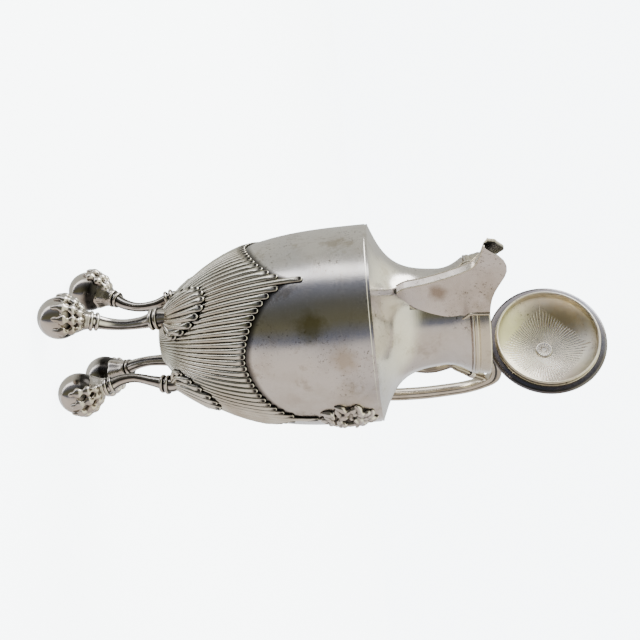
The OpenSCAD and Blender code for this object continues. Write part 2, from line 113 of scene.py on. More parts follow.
def flare_low(z):
    return NECK_R + (SHOULDER_R - NECK_R) * exp(-(z - SHOULDER_Z) / 5.9)


def flare_up(z):
    return 0 if z < FLARE_Z else (MOUTH_R - NECK_R - 1.4) * ((z - FLARE_Z) / 9.3) ** 2


def neck_r(z):
    return flare_low(z) + flare_up(z)


def dome_z(r, inset=0.0):
    reach = max(0.0, 1 - (r / (DOME_R - inset)) ** 2.2)
    return SEAT_Z + 2.2 + (DOME_H - inset) * reach ** 0.62


def spike_share(degrees):
    """1 at each of the four spikes, 0 half way between them."""
    away = abs((degrees + 45) % 90 - 45)
    return 1 - sqrt(away / 45)


def through(points, n):
    """Smooth run through given points, n steps to each span."""
    run = []
    for i in range(len(points) - 1):
        a, b = points[max(i - 1, 0)], points[i]
        c, d = points[i + 1], points[min(i + 2, len(points) - 1)]
        for k in range(n):
            t = k / n
            run.append(tuple(
                0.5 * (2 * q + (r - p) * t + (2 * p - 5 * q + 4 * r - s) * t * t
                       + (3 * q - p - 3 * r + s) * t ** 3)
                for p, q, r, s in zip(a, b, c, d)))
    run.append(tuple(points[-1]))
    return run


# ---- shaping helpers ----

def new_shape():
    bm = bmesh.new()
    bm.verts.layers.float.new("relief")
    bm.verts.layers.int.new("place")
    return bm


def chain_edges(bm, verts, closed=True):
    ends = verts[1:] + verts[:1] if closed else verts[1:]
    return [bm.edges.new(pair) for pair in zip(verts, ends)]


def turned(bm, profile, steps=ROUND_STEPS, relief=1.0, closed=True):
    """Spins a profile of (radius, height) points round the axis."""
    layer = bm.verts.layers.float["relief"]
    verts = [bm.verts.new((r, 0, z)) for r, z in profile]
    for v in verts:
        v[layer] = relief
    edges = chain_edges(bm, verts, closed)
    before = set(bm.verts)
    bmesh.ops.spin(bm, geom=verts + edges, cent=(0, 0, 0), axis=(0, 0, 1), dvec=(0, 0, 0),
                   angle=FULL_TURN, steps=steps, use_merge=True, use_duplicate=False)
    made = [v for v in bm.verts if v not in before or v in verts]
    bmesh.ops.remove_doubles(bm, verts=made, dist=1e-4)
    return bm


def drawn(bm, stations, point, count, capped=True):
    """Pulls a ring through the stations. point(station, k) gives point k and its relief."""
    relief = bm.verts.layers.float["relief"]
    place = bm.verts.layers.int["place"]

    def put(v, station):
        spot, height = point(station, v[place])
        v.co = spot
        v[relief] = height

    ring = [bm.verts.new() for _ in range(count)]
    for k, v in enumerate(ring):
        v[place] = k
        put(v, stations[0])
    edges = chain_edges(bm, ring)
    first = list(edges)
    for station in stations[1:]:
        made = bmesh.ops.extrude_edge_only(bm, edges=edges)["geom"]
        ring = {g for g in made if isinstance(g, bmesh.types.BMVert)}
        edges = [g for g in made if isinstance(g, bmesh.types.BMEdge)
                 and g.verts[0] in ring and g.verts[1] in ring]
        for v in ring:
            put(v, station)
    if capped:
        bmesh.ops.contextual_create(bm, geom=first)
        bmesh.ops.contextual_create(bm, geom=edges)
    return first, edges


def bar(bm, path, section, across=Vector((0, 1, 0))):
    """A strip through path stations (place, width, height); section is (across, up, relief)."""
    places = [Vector(s[0]) for s in path]
    stations = []
    for i, s in enumerate(path):
        along = (places[min(i + 1, len(path) - 1)] - places[max(i - 1, 0)]).normalized()
        up = across.cross(along).normalized()
        stations.append((places[i], across, up, s[1] / 2, s[2] / 2))

    def point(station, k):
        spot, side, up, half_w, half_h = station
        a, b, height = section[k]
        return spot + side * (a * half_w) + up * (b * half_h), height

    return drawn(bm, stations, point, len(section))


def oval(n, lobes=0, depth=0.0):
    """Round section of n points, with shallow lobes where lobes is given."""
    points = []
    for k in range(n):
        t = FULL_TURN * (k + 0.5) / n
        swell = 1 + depth * cos(lobes * t)
        height = 0.5 + 0.5 * cos(lobes * t) if lobes else 1.0
        points.append((cos(t) * swell, sin(t) * swell, height))
    return points


def mirrored(half):
    """Closed section from its right half, listed from the bottom to the top."""
    return half + [(-a, b, h) for a, b, h in reversed(half[1:-1])]


def turn_z(degrees):
    return Matrix.Rotation(radians(degrees), 4, "Z")


def lid_turn():
    """From the closed lid to the lid resting open."""
    back = Matrix.Rotation(-OPEN_ANGLE, 4, "Y")
    return Matrix.Translation(HINGE) @ back @ Matrix.Translation(-HINGE)


def mesh_object(bm, name):
    bmesh.ops.recalc_face_normals(bm, faces=bm.faces)
    mesh = bpy.data.meshes.new(name)
    bm.to_mesh(mesh)
    bm.free()
    piece = bpy.data.objects.new(name, mesh)
    bpy.context.scene.collection.objects.link(piece)
    return piece


def settle(bm, name, finish, nodes=(), body="jug", turn=Matrix.Identity(4),
           crease=50):
    """Puts a shaped piece in its place in the frame, with its finish, body and nodes."""
    place = Matrix.Scale(MM, 4) @ Matrix.Translation((AXIS_X, 0, 0)) @ turn
    bmesh.ops.transform(bm, matrix=place, verts=bm.verts)
    piece = mesh_object(bm, name)
    piece.data.shade_smooth()
    piece.data.set_sharp_from_angle(angle=radians(crease))
    piece.data.materials.append(finish)
    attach(piece, body)
    if nodes:
        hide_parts(*nodes)
    return piece


def melted(bm):
    """Joins overlapping forms into one cast skin, with its hollows marked dark."""
    lump = mesh_object(bm, "lump")
    skin = lump.modifiers.new("skin", "REMESH")
    skin.mode = "VOXEL"
    skin.voxel_size = CAST_GRAIN
    bpy.context.view_layer.update()
    cast = bpy.data.meshes.new_from_object(
        lump.evaluated_get(bpy.context.evaluated_depsgraph_get()))
    bpy.data.objects.remove(lump)
    out = new_shape()
    out.from_mesh(cast)
    bpy.data.meshes.remove(cast)
    relief = out.verts.layers.float.get("relief") or out.verts.layers.float.new("relief")
    for _ in range(2):
        bmesh.ops.smooth_vert(out, verts=out.verts, factor=0.5, use_axis_x=True,
                              use_axis_y=True, use_axis_z=True)
    out.normal_update()
    sharp_form = [(v.co.copy(), v.normal.copy()) for v in out.verts]
    for _ in range(14):
        bmesh.ops.smooth_vert(out, verts=out.verts, factor=0.5, use_axis_x=True,
                              use_axis_y=True, use_axis_z=True)
    for v, (spot, normal) in zip(out.verts, sharp_form):
        proud = (spot - v.co).dot(normal)
        v[relief] = min(1.0, max(0.0, 0.55 + proud * 2.6))
        v.co = spot
    return out


# ---- finishes ----

class Finish:
    """A node material with short calls for the nodes it uses."""

    def __init__(self, name):
        self.material = bpy.data.materials.new(name)
        self.material.use_nodes = True
        self.tree = self.material.node_tree
        self.tree.nodes.clear()
        self.out = self.node("ShaderNodeOutputMaterial")
        self.coords = self.node("ShaderNodeTexCoord").outputs["Object"]

    def node(self, kind, **sets):
        made = self.tree.nodes.new(kind)
        for key, value in sets.items():
            setattr(made, key, value)
        return made

    def link(self, a, b):
        self.tree.links.new(a, b)

    def noise(self, scale, detail=4.0, rough=0.55, stretch=(1, 1, 1), shift=(0, 0, 0)):
        mapping = self.node("ShaderNodeMapping")
        mapping.inputs["Scale"].default_value = stretch
        mapping.inputs["Location"].default_value = shift
        self.link(self.coords, mapping.inputs["Vector"])
        made = self.node("ShaderNodeTexNoise")
        made.inputs["Scale"].default_value = scale
        made.inputs["Detail"].default_value = detail
        made.inputs["Roughness"].default_value = rough
        self.link(mapping.outputs["Vector"], made.inputs["Vector"])
        return made.outputs["Fac"]

    def ramp(self, value, stops):
        made = self.node("ShaderNodeValToRGB")
        marks = made.color_ramp.elements
        marks[0].position, marks[1].position = stops[0][0], stops[-1][0]
        for spot, _ in stops[1:-1]:
            marks.new(spot)
        for mark, (_, colour) in zip(marks, stops):
            shade = colour if isinstance(colour, tuple) else (colour,) * 3
            mark.color = (*shade, 1)
        self.link(value, made.inputs["Fac"])
        return made.outputs["Color"]

    def mix(self, share, a, b):
        made = self.node("ShaderNodeMix", data_type="RGBA")
        for socket, value in ((made.inputs[0], share), (made.inputs[6], a), (made.inputs[7], b)):
            if isinstance(value, bpy.types.NodeSocket):
                self.link(value, socket)
            elif isinstance(value, tuple):
                socket.default_value = (*value, 1)
            else:
                socket.default_value = value
        return made.outputs[2]

    def sum(self, kind, a, b=0.0):
        made = self.node("ShaderNodeMath", operation=kind)
        for socket, value in zip(made.inputs, (a, b)):
            if isinstance(value, bpy.types.NodeSocket):
                self.link(value, socket)
            else:
                socket.default_value = value
        return made.outputs[0]

    def relief(self):
        return self.node("ShaderNodeAttribute", attribute_name="relief").outputs["Fac"]

    def patch(self, centre, radius, ragged=0.6):
        """1 inside a cloudy round patch, centre and radius in millimetres."""
        offset = self.node("ShaderNodeVectorMath", operation="DISTANCE")
        self.link(self.coords, offset.inputs[0])
        offset.inputs[1].default_value = tuple(c * MM for c in centre)
        away = self.sum("DIVIDE", offset.outputs["Value"], radius * MM)
        ruffled = self.sum("ADD", away, self.sum("MULTIPLY", self.noise(420, detail=6), ragged))
        return self.ramp(ruffled, [(0.55, 1.0), (1.0, 0.0)])

    def metal(self, colour, rough, bumps=()):
        shader = self.node("ShaderNodeBsdfPrincipled")
        shader.inputs["Metallic"].default_value = 1.0
        self.link(colour, shader.inputs["Base Color"])
        self.link(rough, shader.inputs["Roughness"])
        normal = None
        for height, distance in bumps:
            bump = self.node("ShaderNodeBump")
            bump.inputs["Strength"].default_value = 1.0
            bump.inputs["Distance"].default_value = distance
            self.link(height, bump.inputs["Height"])
            if normal:
                self.link(normal, bump.inputs["Normal"])
            normal = bump.outputs["Normal"]
        if normal:
            self.link(normal, shader.inputs["Normal"])
        self.link(shader.outputs["BSDF"], self.out.inputs["Surface"])
        return self.material


SILVER = (0.80, 0.765, 0.73)
BROWN_TARNISH = (0.42, 0.34, 0.24)
BLUE_TARNISH = (0.50, 0.52, 0.60)
BLACK_PATINA_AND_SHADE = (0.035, 0.032, 0.03)


def border_dark_band(f):
    """1 in a dark band that lies against the edge of the reeded cup, on the bowl."""
    centred = f.node("ShaderNodeMapping")
    centred.inputs["Location"].default_value = (-AXIS_X * MM, 0, 0)
    f.link(f.coords, centred.inputs["Vector"])
    parts = f.node("ShaderNodeSeparateXYZ")
    f.link(centred.outputs["Vector"], parts.inputs[0])
    around = f.sum("ABSOLUTE", f.sum("ARCTAN2", parts.outputs["Y"], parts.outputs["X"]))
    away = f.sum("PINGPONG", around, pi / 4)
    share = f.sum("SUBTRACT", 1.0, f.sum("SQRT", f.sum("DIVIDE", away, pi / 4)))
    edge = f.sum("MULTIPLY", f.sum("POWER", f.sum("MAXIMUM", share, 0.0), 1.45), SPIKE_H * MM)
    gap = f.sum("SUBTRACT", f.sum("SUBTRACT", parts.outputs["Z"], BORDER_Z * MM), edge)
    return f.ramp(f.sum("MULTIPLY", gap, 1 / (2.4 * MM)), [(0.0, 1.0), (0.45, 0.75), (1.0, 0.0)])


def sheet_finish(name, base=SILVER, tarnish=0.5, border=False, painted_shade_inside=False,
                 gloss=(0.13, 0.30), patches=()):
    """Worn silver sheet: cloudy tarnish, fine black spotting, hairline scratches."""
    f = Finish(name)
    clouds = f.noise(38, detail=5, rough=0.62)
    stain = f.noise(75, detail=8, rough=0.7, shift=(0.31, 0.12, 0.4))
    specks = f.noise(900, detail=3, rough=0.8)
    where = f.noise(55, detail=3, shift=(0.7, 0.2, 0.1))
    cloudy = f.ramp(clouds, [(0.44, 0.0), (0.66, tarnish)])
    colour = f.mix(cloudy, base, BROWN_TARNISH)
    bluish = f.ramp(f.noise(30, detail=3, shift=(0.2, 0.9, 0.5)), [(0.5, 0.0), (0.72, 0.45)])
    colour = f.mix(bluish, colour, BLUE_TARNISH)
    blotch = f.ramp(stain, [(0.55, 0.0), (0.64, tarnish)])
    colour = f.mix(blotch, colour, (0.36, 0.30, 0.21))
    spots = f.sum("MULTIPLY", f.ramp(specks, [(0.58, 0.0), (0.66, 0.8)]),
                  f.ramp(where, [(0.47, 0.0), (0.58, 1.0)]))
    colour = f.mix(spots, colour, (0.16, 0.13, 0.10))
    if border:
        # Paints the bowl near black in a band along the edge of the reeded cup.
        colour = f.mix(border_dark_band(f), colour, BLACK_PATINA_AND_SHADE)
    for centre, radius, shade in patches:
        colour = f.mix(f.sum("MULTIPLY", f.patch(centre, radius), 0.75), colour, shade)
    # Painted shade: faces with a low relief mark, here the inside of the spout, are painted near
    # black.
    if painted_shade_inside:
        colour = f.mix(f.ramp(f.relief(), [(0.1, 1.0), (0.8, 0.0)]), colour, (0.01, 0.01, 0.01))
    scratches = f.noise(260, detail=6, rough=0.75, stretch=(1, 1, 7))
    haze = f.sum("ADD", f.sum("MULTIPLY", clouds, 0.6), f.sum("MULTIPLY", scratches, 0.4))
    rough = f.ramp(haze, [(0.38, gloss[0]), (0.66, gloss[1])])
    dents = f.noise(22, detail=2)
    return f.metal(colour, rough, [(dents, 0.0011), (scratches, 0.000016), (specks, 0.000008)])


def relief_finish(name, base=SILVER, patina_and_shade_black=1.0, low=0.10, high=0.62, gloss=(0.20, 0.42),
                  grain=1.0):
    """Cast or chased silver: black where the relief mark is low, rubbed bright on the high parts.
    The black is patina in the hollows, and painted shade on the tops of the ball feet and the edges
    of the masks.
    """
    f = Finish(name)
    wear = f.noise(420, detail=5, rough=0.7)
    clouds = f.noise(60, detail=4)
    ruffle = f.sum("MULTIPLY", f.sum("SUBTRACT", wear, 0.5), 0.45 * grain)
    height = f.sum("ADD", f.relief(), ruffle)
    rubbed = f.ramp(height, [(low, 0.0), (high, 1.0)])
    tint = f.mix(f.ramp(clouds, [(0.42, 0.0), (0.68, 0.6)]), base, BROWN_TARNISH)
    colour = f.mix(rubbed, tuple(c + (1 - patina_and_shade_black) * 0.4 for c in BLACK_PATINA_AND_SHADE), tint)
    rough = f.ramp(f.sum("ADD", f.sum("MULTIPLY", rubbed, 0.5), f.sum("MULTIPLY", wear, 0.5)),
                   [(0.25, gloss[1]), (0.75, gloss[0])])
    return f.metal(colour, rough, [(wear, 0.00005 * grain),
                                   (f.noise(1600, detail=2), 0.00001 * grain)])


bowl_silver = sheet_finish("bowl silver", border=True, tarnish=0.55,
                           patches=[((AXIS_X + 30.5, 15.5, 94.5), 9, (0.33, 0.29, 0.12)),
                                    ((AXIS_X + 24, 25, 104), 8, (0.50, 0.42, 0.33))])
neck_silver = sheet_finish("neck silver", tarnish=0.35, gloss=(0.12, 0.26))
# The beak's finish paints the inside of the spout near black, as painted shade.
beak_silver = sheet_finish("beak silver", base=(0.82, 0.765, 0.725), tarnish=0.5,
                           painted_shade_inside=True, gloss=(0.20, 0.36),
                           patches=[((AXIS_X + 23.5, 3.9, 135.8), 6.0, (0.30, 0.22, 0.16))])
# Brighter, yellower silver: rubbed silver on the rim band and the seam wires, and a painted
# highlight line on the beak's keel wires.
rubbed_edge_and_highlight_silver = sheet_finish("rubbed edge silver and painted highlight", base=(0.86, 0.80, 0.66), tarnish=0.3,
                           gloss=(0.16, 0.30))
reed_silver = relief_finish("reeded cup silver", base=(0.86, 0.84, 0.75), low=0.04, high=0.46,
                            gloss=(0.15, 0.34))
cast_silver = relief_finish("cast foot silver", low=0.12, high=0.75, gloss=(0.14, 0.36))
# Paints the top of each ball near black from its relief mark, as painted shade and reflection.
ball_silver_with_painted_shade = relief_finish("ball foot silver with painted shade", low=0.30, high=0.95, gloss=(0.10, 0.24))
shell_silver = relief_finish("shell silver", base=(0.87, 0.85, 0.77), low=0.03, high=0.40,
                             gloss=(0.15, 0.34))
mask_silver = relief_finish("mask silver", low=0.28, high=0.72, gloss=(0.16, 0.36))
strap_silver = relief_finish("strap silver", base=(0.78, 0.72, 0.62), low=0.05, high=0.6,
                             gloss=(0.13, 0.30))
scroll_silver = relief_finish("scroll silver", base=(0.40, 0.36, 0.31), low=0.05, high=0.7,
                              gloss=(0.13, 0.30))
hinge_silver = sheet_finish("hinge silver", base=(0.68, 0.64, 0.58), tarnish=0.8)
dark_rim = sheet_finish("lid flange silver", base=(0.13, 0.125, 0.14), tarnish=0.2)
lid_x, lid_y, lid_z = (node_box("lid_dome")[0] + node_box("lid_dome")[1]) / 2
gilt_wash = sheet_finish("worn gilt wash", base=(0.90, 0.84, 0.68), tarnish=0.3,
                         gloss=(0.30, 0.48), patches=[
                             ((lid_x, lid_y - 8, lid_z - 14), 17, (0.84, 0.83, 0.48)),
                             ((lid_x, lid_y - 12, lid_z + 8), 15, (0.72, 0.60, 0.38)),
                             ((lid_x, lid_y + 12, lid_z + 2), 16, (0.93, 0.82, 0.74))])
flute_silver = relief_finish("lid flute silver", base=(0.93, 0.88, 0.80), patina_and_shade_black=0.1, low=0.0,
                             high=0.32, gloss=(0.22, 0.36), grain=0.2)


# ---- bowl and neck ----

def bowl_piece():
    bm = new_shape()
    heights = [BOWL_Z + (SHOULDER_Z - 0.35 - BOWL_Z) * (i / 30) ** 1.6 for i in range(31)]
    outside = [(bowl_r(z), z) for z in heights]
    lip = [(SHOULDER_R - 0.05, SHOULDER_Z - 0.12), (SHOULDER_R - 0.25, SHOULDER_Z)]
    inside = [(bowl_r(z) - SHEET_T, z + (0.9 if z < BOWL_Z + 8 else 0)) for z in reversed(heights)]
    turned(bm, [(0, BOWL_Z)] + outside + lip + [(SHOULDER_R - 1.2, SHOULDER_Z)] + inside[:-1]
           + [(0, BOWL_Z + SHEET_T)], steps=BODY_STEPS, closed=False)
    settle(bm, "bowl_shell", bowl_silver, ["bowl"])


def neck_piece():
    """Neck sheet with the pouring window behind the beak."""
    steps = 180
    window_y, window_low, window_high = 5.4, SPOUT_ZB + 5.6, NECK_TOP - 6
    bm = new_shape()
    heights = [SHOULDER_Z + (FLARE_Z - SHOULDER_Z) * (i / 26) ** 1.7 for i in range(27)]
    heights += [FLARE_Z + (NECK_TOP - FLARE_Z) * i / 10 for i in range(1, 11)]
    start = [(SHOULDER_R - 0.25, SHOULDER_Z), (SHOULDER_R - 0.9, SHOULDER_Z + 0.12)]
    turned(bm, start + [(neck_r(z), z) for z in heights[5:]], steps=steps, closed=False)
    opening = [f for f in bm.faces if f.calc_center_median().x > 0
               and abs(f.calc_center_median().y) < window_y
               and window_low < f.calc_center_median().z < window_high]
    bmesh.ops.delete(bm, geom=opening, context="FACES")
    bmesh.ops.recalc_face_normals(bm, faces=bm.faces)
    bmesh.ops.solidify(bm, geom=bm.faces, thickness=NECK_T)
    settle(bm, "neck_sheet", neck_silver, ["neck"])


def neck_bead_piece():
    bm = new_shape()
    half = [(MOUTH_R - 2.2, BAND_Z)]
    for i in range(9):
        t = radians(80 - 20 * i)
        half.append((MOUTH_R - 0.8 + 0.8 * cos(t), NECK_TOP + 0.4 + 0.4 * sin(t)))
    half.append((MOUTH_R - 2.2, NECK_TOP))
    turned(bm, half)
    settle(bm, "neck_bead_ring", neck_silver, ["neck_bead"])


def mouth_band_piece():
    r = MOUTH_R
    bm = new_shape()
    turned(bm, [
        (r - 1.7, BAND_Z), (r - 0.25, BAND_Z), (r - 0.02, BAND_Z + 0.25), (r, BAND_Z + 1.05),
        (r - 0.15, BAND_Z + 1.28), (r - 0.5, BAND_Z + 1.42), (r - 0.5, BAND_Z + 1.58),
        (r - 0.15, BAND_Z + 1.72), (r, BAND_Z + 1.95), (r + 0.12, BAND_Z + 2.9),
        (r + 0.3, RIM_Z - 1.5), (r + 0.5, RIM_Z - 0.95), (r + 0.52, RIM_Z - 0.55),
        (r + 0.38, RIM_Z - 0.2), (r, RIM_Z), (r - 0.4, RIM_Z - 0.02), (r - 0.68, RIM_Z - 0.25),
        (r - 0.78, RIM_Z - 0.9), (r - 0.85, BAND_Z + 1), (r - 1.5, BAND_Z + 0.6)], steps=BODY_STEPS)
    settle(bm, "rim_band", rubbed_edge_and_highlight_silver, ["mouth_band"])


# ---- reeded cup ----

REED_SECTION = [(-1.0, -0.25, 0.0), (-0.97, 0.18, 0.0), (-0.8, 0.55, 0.35), (-0.45, 0.88, 0.9),
                (0.0, 1.0, 1.0), (0.45, 0.88, 0.9), (0.8, 0.55, 0.35), (0.97, 0.18, 0.0),
                (1.0, -0.25, 0.0)]


def on_bowl(across_mm, z, proud, middle, stand=0.0):
    """Point on the bowl's skin, across_mm to the side of the azimuth middle (degrees)."""
    r = bowl_r(z)
    slope = (bowl_r(z + 0.2) - bowl_r(z - 0.2)) / 0.4
    off = asin(across_mm / r)
    out = Vector((cos(off), sin(off), -slope)).normalized()
    spot = Vector((r * cos(off) + stand, r * sin(off), z)) + out * proud
    return turn_z(middle) @ spot, turn_z(middle).to_3x3() @ out


def reed(bm, line, middle, proud, lift, eyelet=True):
    """Half-round reed on the bowl. line holds (across, z, half width, height, stand-off)."""
    stations = []
    seats = [on_bowl(a, z, proud, middle, stand) for a, z, _, _, stand in line]
    for i, (_, _, half_w, height, _) in enumerate(line):
        spot, out = seats[i]
        along = seats[min(i + 1, len(line) - 1)][0] - seats[max(i - 1, 0)][0]
        side = along.cross(out).normalized()
        out = side.cross(along).normalized()
        dish = 1.0 if eyelet and len(line) - 6 < i < len(line) - 2 else 0.0
        stations.append((spot, side, out, half_w, height * lift, dish))

    def point(station, k):
        spot, side, out, half_w, height, dish = station
        a, b, relief = REED_SECTION[k]
        if dish and abs(a) < 0.5:
            b, relief = b - (0.7 if a == 0 else 0.3), 0.0
        return spot + side * (a * half_w) + out * (b * height), relief

    drawn(bm, stations, point, len(REED_SECTION))


def rounded_end(line, length):
    """Adds a round end of the given length to a run of reed stations."""
    a, z, half_w, height, stand = line[-1]
    pa, pz = line[-2][0], line[-2][1]
    span = max(1e-6, sqrt((a - pa) ** 2 + (z - pz) ** 2))
    da, dz = (a - pa) / span, (z - pz) / span
    tail = []
    for step in (0.3, 0.62, 0.86, 1.0):
        keep = max(0.12, sqrt(1 - step ** 2))
        tail.append((a + da * step * length, z + dz * step * length, half_w * keep,
                     height * max(0.25, keep), stand))
    return line + tail


def reeded_cup_piece():
    bm = new_shape()
    bottom = BOWL_Z + 1.2
    for k in range(REEDS):
        degrees = 360 * k / REEDS
        top = BORDER_Z + SPIKE_H * spike_share(degrees) ** 1.45 - 0.9
        line = []
        for i in range(10):
            z = bottom + (top - bottom) * (1 - (1 - i / 9) ** 1.25)
            pitch = min(pi * bowl_r(z) / REEDS, 1.12)
            free = max(0.0, z - BORDER_Z - 9) / 12
            line.append((0, z, pitch * (1 - 0.12 * min(1, free)), 1.0 if i else 0.7, 0))
        line[-1] = (0, line[-1][1], line[-1][2] * 1.06, 1.08, 0)
        reed(bm, rounded_end(line, 1.0), degrees, 0.25, 0.88)
    settle(bm, "reeded_cup", reed_silver, ["calyx"], crease=80)
    bm = new_shape()
    heights = [BOWL_Z + (BORDER_Z - 1 - BOWL_Z) * (i / 16) ** 1.5 for i in range(17)]
    turned(bm, [(bowl_r(z) + 0.12, z) for z in heights]
           + [(bowl_r(z) - 0.3, z) for z in reversed(heights)], steps=120, relief=0.0)
    settle(bm, "cup_ground", reed_silver)


# ---- spout ----

KEEL = through([(0, 0), (0.09, 0.09), (0.30, 0.155), (0.515, 0.26), (0.727, 0.41),
                (0.894, 0.64), (1, 1)], 4)


def neck_edge(z):
    lip = MOUTH_R + 0.56
    share = min(1.0, max(0.0, (z - NECK_TOP + 2.4) / 2.4))
    return neck_r(min(z, NECK_TOP)) + 0.04 + (lip - neck_r(min(z, NECK_TOP))) * share


def beak_point(f, g, s, inset, hand=0):
    """f runs from the bottom to the lip, g is how far out the front is, s from front to neck.
    hand is above 0 on the left side, whose lip is worn down beside the tip, and below 0 on
    the right, which keeps its height but for a rounded corner."""
    y = 11 * (1 - exp(-((RIM_Z - 0.1 - SPOUT_ZB) * f + 0.6) / 11)) - 0.8 * inset
    z = SPOUT_ZB + (RIM_Z - 0.1 - SPOUT_ZB) * f
    y = max(y, KEEL_W * 0.12)
    x = sqrt(neck_edge(z) ** 2 - y * y)
    front = neck_edge(SPOUT_ZB) + 1.1
    keel_x = max(front + (SPOUT_X - front) * g - inset, x + 0.02)
    keel_y = KEEL_W * (0.15 if inset else 0.5)
    keel_z = SPOUT_ZB + (SPOUT_ZT - SPOUT_ZB) * f
    up = max(0.0, (f - 0.8) / 0.2)
    lift = ARCH_H * up * (exp(-((s - 0.39) / 0.27) ** 2) - 0.12 * (1 - s))
    reach = 0.16 if hand >= 0 else 0.03
    lift -= LIP_WEAR * (1 if hand >= 0 else 0.6) * up * exp(-(s / reach) ** 2)
    return Vector((keel_x + (x - keel_x) * s, keel_y + (y - keel_y) * s ** 1.2,
                   keel_z + (z - keel_z) * s + lift))


def spout_piece():
    shares = [0.0, 0.015, 0.05] + [0.05 + 0.95 * i / 13 for i in range(1, 14)]
    reach = len(shares)
    outer_count = 2 * reach + 1

    def sheet(row, k, inset):
        f, g = row
        j = k - reach
        spot = beak_point(f, g, shares[abs(j) - 1] if j else 0.0, inset, j)
        spot.y *= 1 if j > 0 else -1 if j < 0 else 0
        return spot

    def point(row, k):
        if k < outer_count:
            return sheet(row, k, 0), 1.0
        # The inner face gets relief 0, which the beak's finish turns into painted shade, near
        # black.
        return sheet(row, 2 * outer_count - 1 - k, BEAK_T), 0.0

    rows = [(0.05 + 0.95 * f, g) for f, g in KEEL]
    bm = new_shape()
    place = bm.verts.layers.int["place"]
    for ring in drawn(bm, rows, point, 2 * outer_count, capped=False):
        chains = [e for e in ring
                  if len({v[place] < outer_count for v in e.verts}) == 1]
        bmesh.ops.bridge_loops(bm, edges=chains)
    settle(bm, "beak_spout", beak_silver, ["spout"], crease=38)

    bm = new_shape()
    for hand in (1, -1):
        seam = [sheet(row, reach + hand * reach, 0) for row in rows]
        # The thin wires along the keel's two edges, in the bright edge finish, are a painted
        # highlight line on the ridge.
        ridge = [sheet(row, reach + hand, 0) + Vector((-0.12, -0.12 * hand, 0)) for row in rows]
        for run, width in ((seam, 1.1), (ridge, 0.6)):
            bar(bm, [(spot, width, width) for spot in run], oval(8))
    settle(bm, "beak_wire", rubbed_edge_and_highlight_silver, crease=70)


# ---- feet ----

KNEE_Z = BOWL_Z + 2.3
ANKLE_Z = BALL_Z + 10.6
ANKLE_X = FOOT_X - 4.3
KNEE_X = bowl_r(KNEE_Z + 2.4) + 4.4
BEND_Z = KNEE_Z - 6


def inward(z, bent):
    return bent * max(0.0, (BEND_Z - z) / (BEND_Z - BALL_Z))


def ring_round(bm, x, z, degrees, width, height):
    along = Vector((cos(radians(degrees)), 0, sin(radians(degrees))))
    path = []
    for t in (-1, -0.8, -0.45, 0, 0.45, 0.8, 1):
        keep = 0.76 + 0.24 * sqrt(1 - t * t)
        path.append((Vector((x, 0, z)) + along * 0.75 * t, width * keep, height * keep))
    section = [(a, b, 1.0) for a, b, _ in oval(24)]
    bar(bm, path, section)
    layer = bm.verts.layers.float["relief"]
    bm.verts.ensure_lookup_table()
    for v in bm.verts[-24 * len(path):]:
        offset = (v.co - Vector((x, 0, z))).dot(along)
        if abs(offset) > 0.5:
            v[layer] = 0.1


def leg_pieces(side, degrees, bent):
    w = SHANK_W
    drift = inward(ANKLE_Z, bent)
    mid_z = (KNEE_Z + ANKLE_Z) / 2
    marks = [
        (ANKLE_X + 1 - drift * 1.15, ANKLE_Z - 2.2, w + 1.6, w + 1),
        (ANKLE_X - drift, ANKLE_Z, w + 1.2, w + 0.6),
        (ANKLE_X - 2.9 - inward(ANKLE_Z + 4.2, bent), ANKLE_Z + 4.2, w + 0.4, w - 0.4),
        (KNEE_X - 1.8 - inward(mid_z - 1.2, bent), mid_z - 1.2, w, w - 1),
        (KNEE_X - 1.5, KNEE_Z - 6, w + 0.5, w - 0.6), (KNEE_X - 0.3, KNEE_Z - 2.2, w + 1.6, w),
        (KNEE_X + 0.9, KNEE_Z + 1.4, w + 2.6, w + 0.4),
        (KNEE_X + 1.2, KNEE_Z + 3.6, w + 1.2, w - 1)]
    bm = new_shape()
    path = [((x, 0, z), a, b) for x, z, a, b in through(marks, 5)]
    bar(bm, path, oval(28, lobes=6, depth=0.015))
    run = FOOT_X - ANKLE_X - bent + drift
    slant = 90 + 57.2958 * atan2(run, ANKLE_Z - BALL_Z)
    ring_round(bm, ANKLE_X - drift + 0.2, ANKLE_Z - 0.7, slant, w + 3.2, w + 2.4)
    ring_round(bm, ANKLE_X - drift - 0.6, ANKLE_Z + 1.0, slant + 4, w + 2.6, w + 1.8)
    ring_round(bm, KNEE_X + 0.1, KNEE_Z - 1.4, 78, w + 4.0, w + 2.2)
    ring_round(bm, KNEE_X + 0.6, KNEE_Z + 0.5, 78, w + 4.4, w + 2.6)
    settle(bm, "leg_bar_" + side, cast_silver, ["leg_" + side],
           turn=turn_z(degrees))
    ball_pieces(side, degrees, bent, run)


